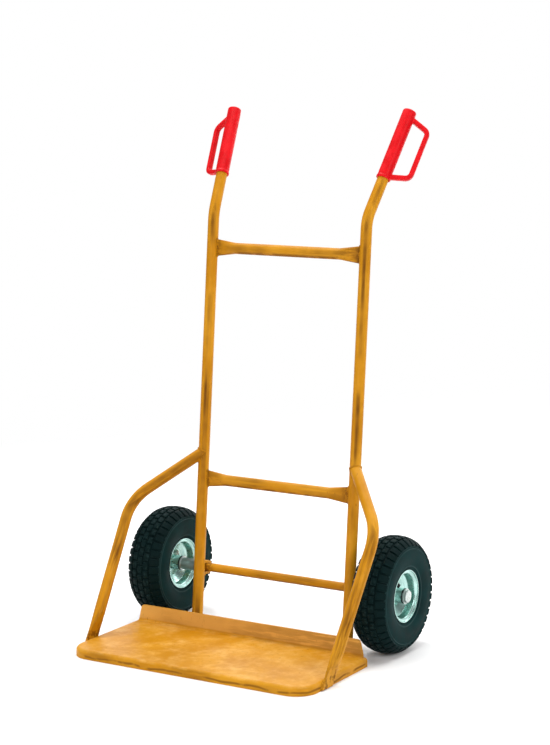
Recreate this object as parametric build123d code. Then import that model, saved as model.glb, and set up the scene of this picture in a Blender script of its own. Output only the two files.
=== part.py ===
from build123d import *
import math
import os

# Sizes are in millimetres and angles in degrees.
# X points right as seen from the front, Y to the back and Z up, and the ground is at Z = 0.

# Steel tube of the frame, and how it is squeezed flat at its ends
tube_diameter = 25.4
tube_wall = 2.0
squeeze_gap = 1.0
squeeze_length = 50.0

# Uprights and handles
upright_spacing = 395.0
upright_lean = 4.85
handle_bend_height = 945.0
handle_bend_radius = 80.0
handle_length = 268.0
handle_lean = 31.3
handle_splay = 7.6

# Crossbars
upper_crossbar_height = 867.0
lower_crossbar_height = 340.0

# Side arms
arm_joint_height = 401.0
arm_bend_height = 298.0
arm_bend_ahead = 123.5
arm_bend_out = 13.5
arm_bend_radius = 120.0
arm_foot_setback = 84.5
arm_foot_clearance = 2.0
arm_palm_rise = 6.0

# Toe plate
plate_width = 600.0
plate_depth = 267.0
plate_sheet = 4.0
lip_height = 20.0
lip_bend_radius = 8.0
front_corner_radius = 50.0
back_wall_height = 58.0
back_wall_bend_radius = 10.0
back_wall_taper = 17.0
back_wall_corner_radius = 8.0
back_wall_tyre_gap = 20.0

# Runners under the toe plate
runner_width = 40.0
runner_thickness = 8.0
runner_front_inset = 70.0
runner_tail = 10.0
runner_corner_radius = 8.0

# Axle and what sits on it
axle_diameter = 20.0
axle_chamfer = 1.5
saddle_width = 22.0
saddle_thickness = 5.0
spacer_length = 47.5
spacer_wall = 4.0
washer_thickness = 2.0
washer_diameter = 34.0
cap_diameter = 28.0
cap_end_wall = 2.5
cap_grip = 3.0
cap_edge_radius = 1.5

# Wheel
wheel_diameter = 260.0
tyre_width = 85.0
tyre_side_wall = 6.0
tyre_crown_wall = 10.0
tyre_shoulder_width = 66.0
tyre_shoulder_drop = 7.5
tyre_flank_drop = 19.0
tyre_flank_inset = 3.0
side_rib_height = 1.0
side_rib_width = 2.4
side_rib_start = 3.0
side_rib_pitch = 4.5
rim_rib_start = 5.0
bead_width = 13.0
bead_rise = 1.0
tread_lugs = 34
slot_depth = 4.0
slot_foot_rise = 2.5
tread_side_stagger = 0.5
tread_centre_stagger = 0.25
shoulder_slot_width = 6.5
centre_slot_width = 5.0
centre_slot_skew = 28.0
rib_groove_width = 4.0
rib_groove_depth = 5.0
rib_groove_offset = 12.0
tube_skin = 2.0
tube_seat_gap = 0.4
tube_rim_gap = 3.5

# Rim and hub
rim_seat_diameter = 102.0
rim_flange_diameter = 116.0
rim_width = 73.0
rim_sheet = 2.0
rim_flange_curl = 3.0
rim_flange_rake = 2.5
rim_disc_diameter = 68.0
rim_cone_width = 13.0
rim_bend_radius = 2.4
hub_diameter = 34.0
hub_length = 60.0
bush_wall = 3.0
bush_length = 20.0
bush_flange_thickness = 3.0
rim_bolt_count = 4
rim_bolt_diameter = 6.0
rim_bolt_head_width = 10.0
rim_bolt_head_height = 4.0
rim_nut_height = 5.0
rim_bolt_end = 1.5

# Valve
valve_diameter = 7.6
valve_inside_length = 12.0
valve_bend_radius = 5.0
valve_root_gap = 0.3
valve_outside_length = 22.0
valve_hole_share = 0.6
valve_cap_diameter = 9.0
valve_cap_length = 11.0
valve_cap_end_wall = 2.0
valve_cap_edge_radius = 1.2
valve_angle = 34.0

# Grips
grip_diameter = 31.0
grip_length = 172.0
grip_end_wall = 4.0
grip_end_radius = 3.2
grip_collar_diameter = 33.0
grip_collar_height = 6.0
guard_reach = 55.0
guard_turn = 33.7
guard_thickness = 11.0
guard_depth = 13.0
guard_edge_radius = 3.0
guard_corner_radius = 14.0
guard_lower_root = 9.0
guard_lower_corner = 20.0
guard_upper_root = 18.5
guard_upper_corner = 36.0

# Clearances
running_clearance = 0.05
slip_clearance = 0.05
side_play = 0.3
bolt_clearance = 0.2
weld_gap = 0.05

# Values worked out from the sizes above
tube_radius = tube_diameter / 2
squeezed_thickness = 2 * tube_wall + squeeze_gap
squeezed_width = math.pi * (tube_diameter - tube_wall) / 2 + tube_wall
axle_radius = axle_diameter / 2
wheel_radius = wheel_diameter / 2
upright_x = upright_spacing / 2
lean_slope = math.tan(math.radians(upright_lean))
upright_ahead = (tube_radius + axle_radius) / math.cos(math.radians(upright_lean))
runner_top = lip_height - plate_sheet
wall_reach = math.sqrt(wheel_radius**2 - (wheel_radius - back_wall_height) ** 2)
plate_back = -(wall_reach + back_wall_tyre_gap)
plate_front = plate_back - plate_depth
arm_x = plate_width / 2 + squeezed_thickness / 2
saddle_face_x = upright_x + saddle_width / 2
inner_washer_x = saddle_face_x + spacer_length
hub_stack = hub_length / 2 + bush_flange_thickness + side_play
wheel_x = inner_washer_x + washer_thickness + hub_stack
outer_washer_x = wheel_x + hub_stack
axle_end_x = outer_washer_x + washer_thickness + cap_grip
wheel_centre = Vector(wheel_x, 0, wheel_radius)


def upright_y(height):
    return -upright_ahead + lean_slope * (height - wheel_radius)


def upright_point(height):
    return Vector(upright_x, upright_y(height), height)


def other_side(shape):
    return mirror(shape, about=Plane.YZ)


def tube_along(path):
    section = Circle(tube_radius) - Circle(tube_radius - tube_wall)
    return sweep(Plane(path @ 0, z_dir=path % 0) * section, path=path)


# Squeezed tube ends, round at one plane and flat at the next
def round_section():
    arcs = [CenterArc((0, 0), tube_radius, start, 90) for start in (45, 135, 225, 315)]
    return Face(Wire(arcs))


def flat_section():
    half_flat = (squeezed_width - squeezed_thickness) / 2
    half_thin = squeezed_thickness / 2
    top = CenterArc((0, half_flat), half_thin, 0, 180)
    left = Line((-half_thin, half_flat), (-half_thin, -half_flat))
    bottom = CenterArc((0, -half_flat), half_thin, 180, 180)
    right = Line((half_thin, -half_flat), (half_thin, half_flat))
    return Face(Wire([top, left, bottom, right]))


def squeezed_end(round_plane, flat_plane, palm_length):
    taper = loft([round_plane * round_section(), flat_plane * flat_section()])
    palm = extrude(flat_plane * flat_section(), palm_length)
    return taper + palm


# Uprights
handle_corner = upright_point(handle_bend_height)
handle_way = Vector(
    math.tan(math.radians(handle_splay)), math.tan(math.radians(handle_lean)), 1
).normalized()


# What is cut from the pieces that are welded to an upright
def upright_core():
    core = Cylinder(tube_radius + weld_gap, 2 * handle_bend_height)
    return Pos(*upright_point(0)) * Rot(X=-upright_lean) * core


def make_upright():
    top = handle_corner + handle_way * handle_length
    path = FilletPolyline(upright_point(0), handle_corner, top, radius=handle_bend_radius)
    return split(tube_along(path), Plane.XY.offset(runner_top), keep=Keep.TOP)


# Crossbars
def make_crossbar(height):
    middle = Vector(0, upright_y(height), height)
    palm_length = tube_radius
    half_tube = upright_x - tube_radius - squeeze_length
    ends = [middle + Vector(half_tube, 0, 0), middle - Vector(half_tube, 0, 0)]
    bar = tube_along(Line(ends[1], ends[0]))
    core = upright_core()
    for end, way in zip(ends, (1, -1)):
        round_plane = Plane(end, x_dir=(0, 1, 0), z_dir=(way, 0, 0))
        bar += squeezed_end(round_plane, round_plane.offset(squeeze_length), palm_length)
    return bar - core - other_side(core)


# Side arms, which bow outwards from a palm that lies flat against the toe plate's lip
def make_side_arm():
    foot = Vector(arm_x, plate_front + arm_foot_setback, 0)
    bend = Vector(arm_x + arm_bend_out, -arm_bend_ahead, arm_bend_height)
    joint = upright_point(arm_joint_height)
    palm_way = (foot - bend + Vector(arm_bend_out, 0, 0)).normalized()
    palm_length = (lip_height + arm_palm_rise) / -palm_way.Z
    palm_top = foot - palm_way * palm_length
    leg_way = (palm_top - bend).normalized()
    taper_top = palm_top - leg_way * squeeze_length
    path = FilletPolyline(taper_top, bend, joint, radius=arm_bend_radius)
    round_plane = Plane(taper_top, x_dir=(1, 0, 0), z_dir=leg_way)
    flat_plane = Plane(palm_top, x_dir=(1, 0, 0), z_dir=palm_way)
    tail = squeezed_end(round_plane, flat_plane, palm_length + squeezed_width)
    arm = tube_along(path) + split(tail, Plane.XY.offset(arm_foot_clearance), keep=Keep.TOP)
    return arm - upright_core()


# Toe plate, a folded sheet with a turned-down lip in front and at the sides
def plate_outline(inset, back):
    front = plate_front + inset
    sheet = Pos(0, (front + back) / 2) * Rectangle(plate_width - 2 * inset, back - front)
    front_corners = sheet.vertices().sort_by(Axis.Y)[:2]
    return fillet(front_corners, front_corner_radius - inset)


def lipped_block(inset, back, height, bend_radius):
    block = extrude(plate_outline(inset, back), height)
    rim = block.faces().sort_by(Axis.Z)[-1].edges().sort_by(Axis.Y)[:-1]
    return fillet(rim, bend_radius)


def make_back_wall(bend_start):
    inner_face = plate_back - plate_sheet
    fold = make_face(
        Polyline(
            (bend_start, lip_height),
            (bend_start, runner_top),
            (plate_back, runner_top),
            (plate_back, back_wall_height),
            (inner_face, back_wall_height),
            (inner_face, lip_height),
            close=True,
        )
    )
    outer_bend = fold.vertices().sort_by_distance((plate_back, runner_top))[0]
    fold = fillet(outer_bend, back_wall_bend_radius)
    inner_bend = fold.vertices().sort_by_distance((inner_face, lip_height))[0]
    fold = fillet(inner_bend, back_wall_bend_radius - plate_sheet)
    strip = extrude(Plane.YZ * fold, plate_width / 2, both=True)
    half_foot = plate_width / 2 - lip_bend_radius
    half_top = plate_width / 2 - back_wall_taper
    shape = make_face(
        Polyline(
            (-half_foot, 0),
            (half_foot, 0),
            (half_foot, lip_height),
            (half_top, back_wall_height),
            (-half_top, back_wall_height),
            (-half_foot, lip_height),
            close=True,
        )
    )
    shape = fillet(shape.vertices().sort_by(Axis.Y)[-2:], back_wall_corner_radius)
    return strip & extrude(Plane.XZ * shape, -plate_front, both=True)


def make_toe_plate():
    bend_start = plate_back - back_wall_bend_radius - plate_sheet
    outer = lipped_block(0, plate_back, lip_height, lip_bend_radius)
    hollow = lipped_block(plate_sheet, plate_back, runner_top, lip_bend_radius - plate_sheet)
    fold_gap = Rectangle(plate_width - 2 * lip_bend_radius, 2 * (plate_back - bend_start))
    fold_gap = extrude(Pos(0, plate_back) * fold_gap, lip_height)
    return outer - hollow - fold_gap + make_back_wall(bend_start)


# Runners, flat bars that carry the uprights and lie under the toe plate's floor
def make_runner():
    front = plate_front + runner_front_inset
    back = upright_y(runner_top) + tube_radius + runner_tail
    bar = Pos(upright_x, (front + back) / 2) * Rectangle(runner_width, back - front)
    bar = fillet(bar.vertices().sort_by(Axis.Y)[-2:], runner_corner_radius)
    return Pos(0, 0, runner_top - runner_thickness) * extrude(bar, runner_thickness)


# Axle, its saddles on the backs of the uprights, and the pieces along it
def ring_along_x(start, length, outer_radius, inner_radius):
    ring = Plane.YZ * (Circle(outer_radius) - Circle(inner_radius))
    return Pos(start, 0, wheel_radius) * extrude(ring, length)


def make_axle():
    bar = Rot(Y=90) * Cylinder(axle_radius, 2 * axle_end_x)
    bar = chamfer(bar.edges().filter_by(GeomType.CIRCLE), axle_chamfer)
    return Pos(0, 0, wheel_radius) * bar


def make_saddle():
    inner = axle_radius + slip_clearance
    outer = inner + saddle_thickness
    reach = tube_radius + axle_radius
    legs = Pos(-reach / 2, 0)
    strap = Circle(outer) + legs * Rectangle(reach, 2 * outer)
    strap -= Circle(inner) + legs * Rectangle(reach, 2 * inner)
    lean = math.radians(upright_lean)
    backward = Vector(0, math.cos(lean), -math.sin(lean))
    seat = Plane((upright_x, 0, wheel_radius), x_dir=backward, z_dir=(1, 0, 0))
    return extrude(seat * strap, saddle_width / 2, both=True) - upright_core()


def make_spacer():
    inner = axle_radius + slip_clearance
    return ring_along_x(saddle_face_x, spacer_length, inner + spacer_wall, inner)


def make_washer(start):
    return ring_along_x(start, washer_thickness, washer_diameter / 2, axle_radius + slip_clearance)


def make_axle_cap():
    start = outer_washer_x + washer_thickness
    bore = axle_radius + slip_clearance
    length = cap_grip + slip_clearance + cap_end_wall
    cap = Plane.YZ * Circle(cap_diameter / 2)
    cap = extrude(cap, length)
    cap = fillet(cap.edges().sort_by(Axis.X)[-1], cap_edge_radius)
    cap -= extrude(Plane.YZ * Circle(bore), cap_grip + slip_clearance)
    return Pos(start, 0, wheel_radius) * cap


# Wheel, drawn about the X axis with its middle at the origin
rim_seat_radius = rim_seat_diameter / 2
rim_flange_radius = rim_flange_diameter / 2
rim_disc_radius = rim_disc_diameter / 2
hub_radius = hub_diameter / 2
flange_tip = Vector(rim_width / 2 - rim_sheet / 2, rim_flange_radius - rim_sheet / 2)
flange_top = flange_tip - Vector(rim_flange_curl, 0)
flange_foot = Vector(flange_top.X - rim_flange_rake, rim_seat_radius - rim_sheet / 2)
cone_top = Vector(rim_cone_width, flange_foot.Y)
cone_foot = Vector(rim_sheet / 2, rim_disc_radius)
cone_way = (cone_top - cone_foot).normalized()
cone_out = Vector(cone_way.Y, -cone_way.X)
valve_hole = cone_foot + (cone_top - cone_foot) * valve_hole_share
tube_bottom = rim_seat_radius + tube_rim_gap
half_shoulder = tyre_shoulder_width / 2
crown_radius = (half_shoulder**2 + tyre_shoulder_drop**2) / (2 * tyre_shoulder_drop)
rim_bolt_ring = (hub_radius + rim_disc_radius) / 2
bush_bore = axle_radius + running_clearance
bush_radius = bush_bore + bush_wall
hub_bore = bush_radius + slip_clearance


def turned(face):
    return revolve(face, Axis.X)


def rim_bolt_places():
    step = 360 / rim_bolt_count
    turns = [step * (index + 0.5) for index in range(rim_bolt_count)]
    return [Rot(X=turn) * Pos(0, 0, rim_bolt_ring) for turn in turns]


# A point or a way in the rim's flat section, turned round the axle to where the valve is
def at_valve(flat):
    return Vector(flat.X, 0, flat.Y).rotate(Axis.X, valve_angle)


def make_rim_half(with_valve_hole):
    middle = FilletPolyline(
        (rim_sheet / 2, hub_radius + slip_clearance),
        cone_foot,
        cone_top,
        flange_foot,
        flange_top,
        flange_tip,
        radius=rim_bend_radius,
    )
    half = turned(trace(middle, rim_sheet))
    hole = Rot(Y=90) * Cylinder(rim_bolt_diameter / 2 + bolt_clearance, rim_width)
    half -= [place * hole for place in rim_bolt_places()]
    if with_valve_hole:
        axis = Plane(at_valve(valve_hole), z_dir=at_valve(cone_out))
        half -= axis * Cylinder(valve_diameter / 2 + bolt_clearance, valve_inside_length)
    return half


def make_hub():
    return extrude(Plane.YZ * (Circle(hub_radius) - Circle(hub_bore)), hub_length / 2, both=True)


def make_bush():
    sleeve_start = hub_length / 2 - bush_length
    sleeve = Plane.YZ * (Circle(bush_radius) - Circle(bush_bore))
    flange = Plane.YZ * (Circle(hub_radius) - Circle(bush_bore))
    bush = Pos(sleeve_start, 0, 0) * extrude(sleeve, bush_length)
    return bush + Pos(hub_length / 2, 0, 0) * extrude(flange, bush_flange_thickness)


def hexagon(across_flats):
    return Plane.YZ * RegularPolygon(across_flats / 2, 6, major_radius=False)


def make_rim_bolts():
    grip = 2 * rim_sheet + rim_nut_height + rim_bolt_end
    head = extrude(hexagon(rim_bolt_head_width), rim_bolt_head_height)
    shank = extrude(Plane.YZ * Circle(rim_bolt_diameter / 2), -grip)
    bolt = Pos(rim_sheet, 0, 0) * (head + shank)
    return [place * bolt for place in rim_bolt_places()]


def make_rim_nuts():
    bore = Plane.YZ * Circle(rim_bolt_diameter / 2 + slip_clearance)
    nut = extrude(hexagon(rim_bolt_head_width) - bore, -rim_nut_height)
    nut = Pos(-rim_sheet, 0, 0) * nut
    return [place * nut for place in rim_bolt_places()]


def make_valve_stem():
    corner = valve_hole - cone_out * valve_inside_length
    root = Vector(corner.X, tube_bottom - valve_root_gap)
    tip = valve_hole + cone_out * valve_outside_length
    points = [at_valve(flat) for flat in (root, corner, tip)]
    path = FilletPolyline(*points, radius=valve_bend_radius)
    return sweep(Plane(path @ 0, z_dir=path % 0) * Circle(valve_diameter / 2), path=path)


def make_valve_cap():
    tip = valve_hole + cone_out * valve_outside_length
    seat = Plane(at_valve(tip), z_dir=at_valve(cone_out))
    cap = Pos(0, 0, valve_cap_end_wall) * Cylinder(
        valve_cap_diameter / 2, valve_cap_length, align=(Align.CENTER, Align.CENTER, Align.MAX)
    )
    cap = fillet(cap.edges().sort_by(Axis.Z)[-1], valve_cap_edge_radius)
    bore = Cylinder(
        valve_diameter / 2 + slip_clearance,
        valve_cap_length,
        align=(Align.CENTER, Align.CENTER, Align.MAX),
    )
    return seat * (cap - Pos(0, 0, slip_clearance) * bore)


# A raised ring on the tyre's side, pointed in section, with its root inside the side wall
def side_rib():
    root = side_rib_width / 2
    return make_face(
        Polyline(
            (-root, -side_rib_height),
            (root, -side_rib_height),
            (root, 0),
            (0, side_rib_height),
            (-root, 0),
            close=True,
        )
    )


def tyre_section():
    half_width = tyre_width / 2
    belly = (wheel_radius + rim_seat_radius) / 2
    crown = (0, wheel_radius)
    shoulder = (half_shoulder, wheel_radius - tyre_shoulder_drop)
    flank = (half_width - tyre_flank_inset, wheel_radius - tyre_flank_drop)
    over_flange = (flange_top.X + slip_clearance, rim_flange_radius + bead_rise)
    inside_flange = (flange_top.X - rim_sheet, rim_flange_radius)
    bead_seat = rim_seat_radius + slip_clearance
    heel = (flange_foot.X - rim_bend_radius, bead_seat)
    toe = (heel[0] - bead_width, bead_seat)
    toe_top = (toe[0], bead_seat + tyre_side_wall)
    inner_crown = (0, wheel_radius - tyre_crown_wall)
    side = ThreePointArc(flank, (half_width, belly), over_flange)
    half = make_face(
        [
            RadiusArc(crown, shoulder, crown_radius),
            Line(shoulder, flank),
            side,
            Line(over_flange, inside_flange),
            Line(inside_flange, heel),
            Line(heel, toe),
            Line(toe, toe_top),
            ThreePointArc(toe_top, (half_width - tyre_side_wall, belly), inner_crown),
            Line(inner_crown, crown),
        ]
    )
    rib_starts = [side_rib_start, side_rib_start + side_rib_pitch, side.length - rim_rib_start]
    for start in rib_starts:
        place = side.position_at(start, position_mode=PositionMode.LENGTH)
        along = side.tangent_at(start, position_mode=PositionMode.LENGTH)
        half += Plane(place, x_dir=along, z_dir=(0, 0, 1)) * side_rib()
    return half + mirror(half, about=Plane.YZ)


def tread_tools():
    floor = wheel_radius - slot_depth
    above = wheel_radius + slot_depth
    slot_foot = wheel_radius - tyre_flank_drop + slot_foot_rise
    slot = make_face(
        Polyline(
            (rib_groove_offset, above),
            (rib_groove_offset, floor),
            (half_shoulder - slot_depth, floor - tyre_shoulder_drop),
            (tyre_width / 2 - slot_depth, slot_foot),
            (tyre_width, slot_foot),
            (tyre_width, above),
            close=True,
        )
    )
    slot = extrude(Plane.XZ * slot, shoulder_slot_width / 2, both=True)
    centre = Box(2 * rib_groove_offset, centre_slot_width, 2 * slot_depth)
    centre = Pos(0, 0, wheel_radius) * Rot(Z=centre_slot_skew) * centre
    step = 360 / tread_lugs
    tools = []
    for index in range(tread_lugs):
        tools.append(Rot(X=step * index) * slot)
        tools.append(Rot(X=step * (index + tread_side_stagger)) * other_side(slot))
        tools.append(Rot(X=step * (index + tread_centre_stagger)) * centre)
    groove = Pos(rib_groove_offset, wheel_radius) * Rectangle(rib_groove_width, 2 * rib_groove_depth)
    groove = turned(groove)
    return tools + [groove, other_side(groove)]


def make_tyre():
    return turned(tyre_section()) - tread_tools()


def make_inner_tube():
    top = wheel_radius - tyre_crown_wall - tube_seat_gap
    middle = Pos(0, (top + tube_bottom) / 2)
    half_width = tyre_width / 2 - tyre_side_wall - tube_seat_gap
    half_height = (top - tube_bottom) / 2
    skin = Ellipse(half_width, half_height) - Ellipse(half_width - tube_skin, half_height - tube_skin)
    return turned(middle * skin)


# Grips, drawn with the bore along Z and the guard towards X
def make_grip():
    grip_radius = grip_diameter / 2
    from_bottom = (Align.CENTER, Align.CENTER, Align.MIN)
    body = Cylinder(grip_radius, grip_length, align=from_bottom)
    body = fillet(body.edges().sort_by(Axis.Z)[-1], grip_end_radius)
    collar = Cylinder(grip_collar_diameter / 2, grip_collar_height, align=from_bottom)
    collar_rim = collar.edges().filter_by(GeomType.CIRCLE)
    collar = fillet(collar_rim, (grip_collar_diameter - grip_diameter) / 2)
    path = FilletPolyline(
        (tube_radius, 0, guard_lower_root),
        (guard_reach, 0, guard_lower_corner),
        (guard_reach, 0, grip_length - guard_upper_corner),
        (tube_radius, 0, grip_length - guard_upper_root),
        radius=guard_corner_radius,
    )
    start = Plane(path @ 0, x_dir=(0, 1, 0), z_dir=path % 0)
    guard = sweep(start * RectangleRounded(guard_depth, guard_thickness, guard_edge_radius), path=path)
    bore = Cylinder(tube_radius + slip_clearance, grip_length - grip_end_wall, align=from_bottom)
    grip = body + collar + guard - bore
    level_out = handle_way.cross(Vector(0, 0, 1)).normalized()
    back_down = handle_way.cross(level_out)
    turn = math.radians(guard_turn)
    guard_way = level_out * math.cos(turn) + back_down * math.sin(turn)
    bottom = handle_corner + handle_way * (handle_length + grip_end_wall - grip_length)
    return Plane(bottom, x_dir=guard_way, z_dir=handle_way) * grip


# Every piece by name, with a right-hand one made first and mirrored to the left
def make_pieces():
    pieces = {
        "upper_crossbar": make_crossbar(upper_crossbar_height),
        "lower_crossbar": make_crossbar(lower_crossbar_height),
        "toe_plate": make_toe_plate(),
        "axle": make_axle(),
    }
    sided = {
        "upright": make_upright(),
        "side_arm": make_side_arm(),
        "runner": make_runner(),
        "axle_saddle": make_saddle(),
        "axle_spacer": make_spacer(),
        "inner_washer": make_washer(inner_washer_x),
        "outer_washer": make_washer(outer_washer_x),
        "axle_cap": make_axle_cap(),
        "grip": make_grip(),
    }
    bush = make_bush()
    wheel = {
        "tyre": make_tyre(),
        "inner_tube": make_inner_tube(),
        "outer_rim": make_rim_half(with_valve_hole=True),
        "inner_rim": other_side(make_rim_half(with_valve_hole=False)),
        "hub": make_hub(),
        "outer_bush": bush,
        "inner_bush": other_side(bush),
        "rim_bolts": Compound(make_rim_bolts()),
        "rim_nuts": Compound(make_rim_nuts()),
        "valve_stem": make_valve_stem(),
        "valve_cap": make_valve_cap(),
    }
    for name, shape in wheel.items():
        sided[name] = Pos(*wheel_centre) * shape
    for name, shape in sided.items():
        pieces["right_" + name] = shape
        pieces["left_" + name] = other_side(shape)
    return pieces


# The origin goes to the middle of the footprint, on the ground
def main():
    os.makedirs("parts", exist_ok=True)
    pieces = make_pieces()
    box = Compound(list(pieces.values())).bounding_box()
    to_origin = Pos(0, -box.center().Y, -box.min.Z)
    for name, shape in pieces.items():
        export_step(to_origin * shape, f"parts/{name}.step")
    print("right wheel centre", wheel_centre + to_origin.position)
    print("overall", box.size)


main()
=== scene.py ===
import math

import bpy
from mathutils import Matrix, Vector


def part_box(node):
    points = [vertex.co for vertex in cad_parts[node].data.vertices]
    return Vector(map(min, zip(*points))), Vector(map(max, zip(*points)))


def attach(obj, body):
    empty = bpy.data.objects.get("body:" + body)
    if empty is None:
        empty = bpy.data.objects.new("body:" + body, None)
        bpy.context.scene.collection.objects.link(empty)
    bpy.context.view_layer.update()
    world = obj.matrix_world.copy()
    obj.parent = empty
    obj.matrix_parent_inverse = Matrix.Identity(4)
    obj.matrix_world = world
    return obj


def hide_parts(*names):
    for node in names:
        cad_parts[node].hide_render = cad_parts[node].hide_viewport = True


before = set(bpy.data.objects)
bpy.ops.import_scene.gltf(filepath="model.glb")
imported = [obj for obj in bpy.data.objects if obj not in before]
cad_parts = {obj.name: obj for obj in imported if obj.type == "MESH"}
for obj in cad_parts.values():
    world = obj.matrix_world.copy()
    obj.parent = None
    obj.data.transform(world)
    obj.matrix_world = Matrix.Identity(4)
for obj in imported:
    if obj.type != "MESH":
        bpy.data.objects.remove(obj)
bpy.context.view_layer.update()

print("frame loaded,", len(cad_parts), "nodes")


# selecting and copying
def clearSelection():
    if bpy.context.object and bpy.context.object.mode != "OBJECT":
        bpy.ops.object.mode_set(mode="OBJECT")
    bpy.ops.object.select_all(action="DESELECT")


def pick(*pieces):  # selects these pieces alone, the first one active
    clearSelection()
    for piece in pieces:
        piece.select_set(True)
    bpy.context.view_layer.objects.active = pieces[0]


def pickFaces(piece, wanted):  # leaves edit mode on, with the wanted faces selected
    pick(piece)
    bpy.ops.object.mode_set(mode="EDIT")
    bpy.ops.mesh.select_mode(type="FACE")
    bpy.ops.mesh.select_all(action="DESELECT")
    bpy.ops.object.mode_set(mode="OBJECT")
    for face in piece.data.polygons:
        face.select = wanted(face)
    bpy.ops.object.mode_set(mode="EDIT")


def pickEdges(piece, wanted):  # the same for edges, judged by their two ends
    pick(piece)
    bpy.ops.object.mode_set(mode="EDIT")
    bpy.ops.mesh.select_mode(type="EDGE")
    bpy.ops.mesh.select_all(action="DESELECT")
    bpy.ops.object.mode_set(mode="OBJECT")
    for edge in piece.data.edges:
        edge.select = wanted(*[piece.data.vertices[corner].co for corner in edge.vertices])
    bpy.ops.object.mode_set(mode="EDIT")


def copyOf(source, name):  # a new object with its own mesh
    piece = bpy.data.objects.new(name, source.data.copy())
    bpy.context.collection.objects.link(piece)
    return piece


def applyModifiers(piece):
    pick(piece)
    for modifier in list(piece.modifiers):
        bpy.ops.object.modifier_apply(modifier=modifier.name)


def middleOf(node):
    low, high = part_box(node)
    return (Vector(low) + Vector(high)) / 2


# camera, at the photograph's own viewing angle
cameraView = {
    "lookAt": (0.0446, 0.0107, 0.6134),
    "heading": 30.902,  # degrees to the right of straight ahead
    "pitch": 8.528,  # degrees above the horizon
    "distance": 4.403,
    "sensor": 36.0,  # millimetres on the long side
    "lens": 97.53,
    "farthest": 60.0,
}


def placeCamera(view):
    heading = math.radians(view["heading"])
    pitch = math.radians(view["pitch"])
    level = math.cos(pitch)
    away = Vector((math.sin(heading) * level, -math.cos(heading) * level, math.sin(pitch)))
    bpy.ops.object.camera_add(location=Vector(view["lookAt"]) + away * view["distance"])
    camera = bpy.context.object
    camera.rotation_euler = away.to_track_quat("Z", "Y").to_euler()
    camera.data.sensor_width = view["sensor"]
    camera.data.lens = view["lens"]
    camera.data.clip_end = view["farthest"]
    bpy.context.scene.camera = camera


placeCamera(cameraView)
print("camera placed")


# pale floor that sweeps up behind, and soft studio light
studio = {
    "floorSize": 9.0,
    "sweepBack": 3.2,  # metres behind the trolley
    "sweepHeight": 4.5,
    "sweepBend": 1.4,
    "sweepSegments": 16,
    "skyColour": (1.0, 1.0, 1.0, 1.0),
    "skyStrength": 0.24,
    "slack": 0.01,  # for telling the floor's edges and faces apart
}
lamps = {
    "keyLamp": {"place": (-3.2, -3.0, 2.8), "aim": (0.0, 0.0, 0.5), "size": 2.0, "power": 44.0},
    "frontLamp": {"place": (0.6, -4.2, 1.5), "aim": (0.0, 0.0, 0.4), "size": 2.4, "power": 58.0},
    "fillLamp": {"place": (3.9, -1.4, 2.2), "aim": (0.0, 0.0, 0.5), "size": 2.0, "power": 72.0},
    "topLamp": {"place": (0.2, 0.2, 4.4), "aim": (0.0, 0.0, 0.5), "size": 4.0, "power": 125.0},
    "rimLamp": {"place": (1.2, 2.6, 2.6), "aim": (0.0, 0.0, 0.5), "size": 1.6, "power": 22.0},
    "sweepLamp": {"place": (-1.6, 1.0, 3.9), "aim": (-1.9, 3.2, 1.5), "size": 1.8, "power": 110.0},
}


def buildStage():
    half = studio["floorSize"] / 2
    back = studio["sweepBack"]
    slack = studio["slack"]

    def atFold(first, second):
        return min(first.y, second.y) > back - slack and max(first.z, second.z) < slack

    clearSelection()
    bpy.ops.mesh.primitive_plane_add(size=studio["floorSize"])
    floor = bpy.context.object
    floor.name = "studioFloor"
    pickEdges(floor, lambda first, second: min(first.y, second.y) > half - slack)
    bpy.ops.transform.translate(value=(0, back - half, 0))
    bpy.ops.mesh.extrude_edges_move(TRANSFORM_OT_translate={"value": (0, 0, studio["sweepHeight"])})
    pickEdges(floor, atFold)
    bpy.ops.mesh.bevel(offset=studio["sweepBend"], segments=studio["sweepSegments"], affect="EDGES")
    pickFaces(floor, lambda face: face.normal.y > slack or face.normal.z < -slack)
    bpy.ops.mesh.flip_normals()  # the sweep faces the trolley, and is clear from behind
    bpy.ops.object.mode_set(mode="OBJECT")
    bpy.ops.object.shade_smooth()
    return floor


def buildLamps():
    for name, lamp in lamps.items():
        bpy.ops.object.light_add(type="AREA", location=lamp["place"])
        light = bpy.context.object
        light.name = name
        light.data.shape = "DISK"
        light.data.size = lamp["size"]
        light.data.energy = lamp["power"]
        aim = Vector(lamp["aim"]) - Vector(lamp["place"])
        light.rotation_euler = aim.to_track_quat("-Z", "Y").to_euler()


def buildSky():  # white to the camera, and a dimmer light on everything else
    world = bpy.data.worlds.new("studioSky")
    world.use_nodes = True
    tree = world.node_tree
    sky = tree.nodes["Background"]
    sky.inputs["Color"].default_value = studio["skyColour"]
    seen = tree.nodes.new("ShaderNodeLightPath").outputs["Is Camera Ray"]
    strength = tree.nodes.new("ShaderNodeMapRange")
    strength.inputs["To Min"].default_value = studio["skyStrength"]
    tree.links.new(seen, strength.inputs["Value"])
    tree.links.new(strength.outputs[0], sky.inputs["Strength"])
    world.cycles.sampling_method = "NONE"  # an even sky needs no map of its own
    bpy.context.scene.world = world
    bpy.context.scene.view_settings.view_transform = "Standard"


floor = buildStage()
buildLamps()
buildSky()
print("stage and lamps placed")


# small helpers for shader trees
def addNode(tree, kind, sockets=None, **settings):
    made = tree.nodes.new(kind)
    for name, value in settings.items():
        setattr(made, name, value)
    for name, value in (sockets or {}).items():
        if isinstance(value, bpy.types.NodeSocket):
            tree.links.new(value, made.inputs[name])
        else:
            made.inputs[name].default_value = value
    return made


def maths(tree, operation, first, second=0.0):
    return addNode(tree, "ShaderNodeMath", {0: first, 1: second}, operation=operation).outputs[0]


def times(tree, first, second):
    return maths(tree, "MULTIPLY", first, second)


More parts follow.
